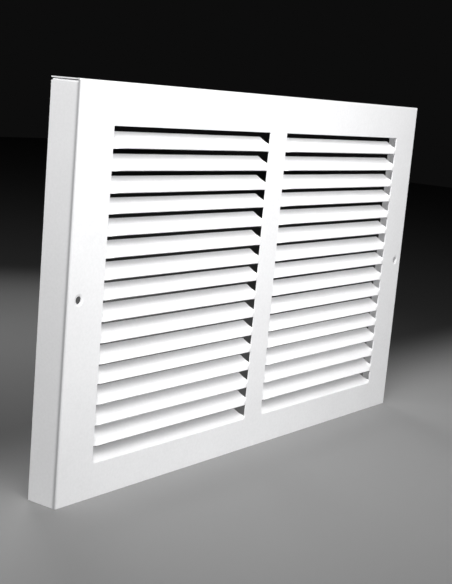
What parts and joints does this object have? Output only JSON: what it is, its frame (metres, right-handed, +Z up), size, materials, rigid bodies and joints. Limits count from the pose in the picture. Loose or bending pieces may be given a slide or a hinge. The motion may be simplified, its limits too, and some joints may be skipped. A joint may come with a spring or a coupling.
{
  "type": "louvred air grille",
  "caption": "White steel baseboard return air grille: two banks of fixed stamped louvres in a face turned back at its top and sides, with a plain bottom edge and two screw holes.",
  "frame": {"origin": "middle of the bottom of the bounding box, at floor level", "axes": "+X along the width, -Y out of the room side of the face, +Y towards the wall, +Z up"},
  "size_m": [0.4, 0.024, 0.2476],
  "materials": {
    "white_powder_coat": "satin white powder coat with a very fine texture"
  },
  "bodies": {
    "root": {"top_rail": "white_powder_coat", "bottom_rail": "white_powder_coat", "left_stile": "white_powder_coat", "right_stile": "white_powder_coat", "centre_mullion": "white_powder_coat", "top_flange": "white_powder_coat", "left_flange": "white_powder_coat", "right_flange": "white_powder_coat", "left_corner_tab": "white_powder_coat", "right_corner_tab": "white_powder_coat", "louvre_left_01": "white_powder_coat", "louvre_left_02": "white_powder_coat", "louvre_left_03": "white_powder_coat", "louvre_left_04": "white_powder_coat", "louvre_left_05": "white_powder_coat", "louvre_left_06": "white_powder_coat", "louvre_left_07": "white_powder_coat", "louvre_left_08": "white_powder_coat", "louvre_left_09": "white_powder_coat", "louvre_left_10": "white_powder_coat", "louvre_left_11": "white_powder_coat", "louvre_left_12": "white_powder_coat", "louvre_left_13": "white_powder_coat", "louvre_left_14": "white_powder_coat", "louvre_left_15": "white_powder_coat", "louvre_left_16": "white_powder_coat", "louvre_right_01": "white_powder_coat", "louvre_right_02": "white_powder_coat", "louvre_right_03": "white_powder_coat", "louvre_right_04": "white_powder_coat", "louvre_right_05": "white_powder_coat", "louvre_right_06": "white_powder_coat", "louvre_right_07": "white_powder_coat", "louvre_right_08": "white_powder_coat", "louvre_right_09": "white_powder_coat", "louvre_right_10": "white_powder_coat", "louvre_right_11": "white_powder_coat", "louvre_right_12": "white_powder_coat", "louvre_right_13": "white_powder_coat", "louvre_right_14": "white_powder_coat", "louvre_right_15": "white_powder_coat", "louvre_right_16": "white_powder_coat"}
  },
  "joints": []
}
